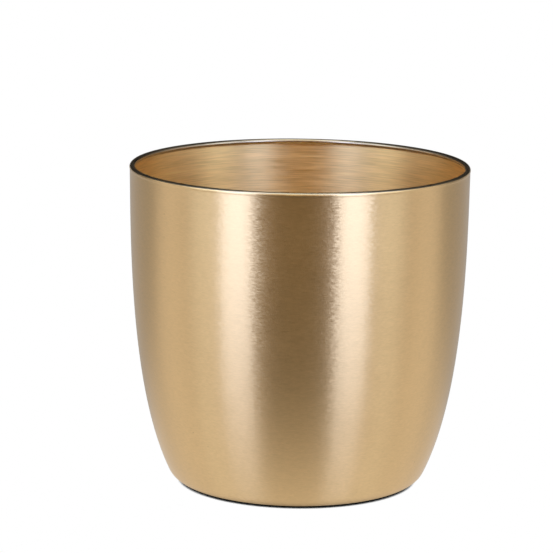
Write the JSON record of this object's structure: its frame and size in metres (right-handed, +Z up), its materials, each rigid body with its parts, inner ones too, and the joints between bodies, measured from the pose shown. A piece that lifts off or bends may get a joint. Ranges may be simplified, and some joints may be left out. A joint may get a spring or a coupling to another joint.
{
  "type": "cachepot",
  "caption": "Round brushed brass cachepot: a tapering drawn shell with a curled rim and a stamped bottom, standing on thin rubber dots, for holding a potted plant.",
  "frame": {"origin": "under the middle of the pot, on the surface that the foot dots stand on", "axes": "+Z up along the pot's axis of revolution, towards the mouth; +X and +Y lie between two foot dots each"},
  "size_m": [0.14, 0.14, 0.1325],
  "materials": {
    "brushed_brass": "brushed round the pot, satin",
    "foot_rubber": "matt, finely grained"
  },
  "bodies": {
    "root": {"shell": "brushed_brass", "foot_dot_1": "foot_rubber", "foot_dot_2": "foot_rubber", "foot_dot_3": "foot_rubber", "foot_dot_4": "foot_rubber"}
  },
  "joints": []
}
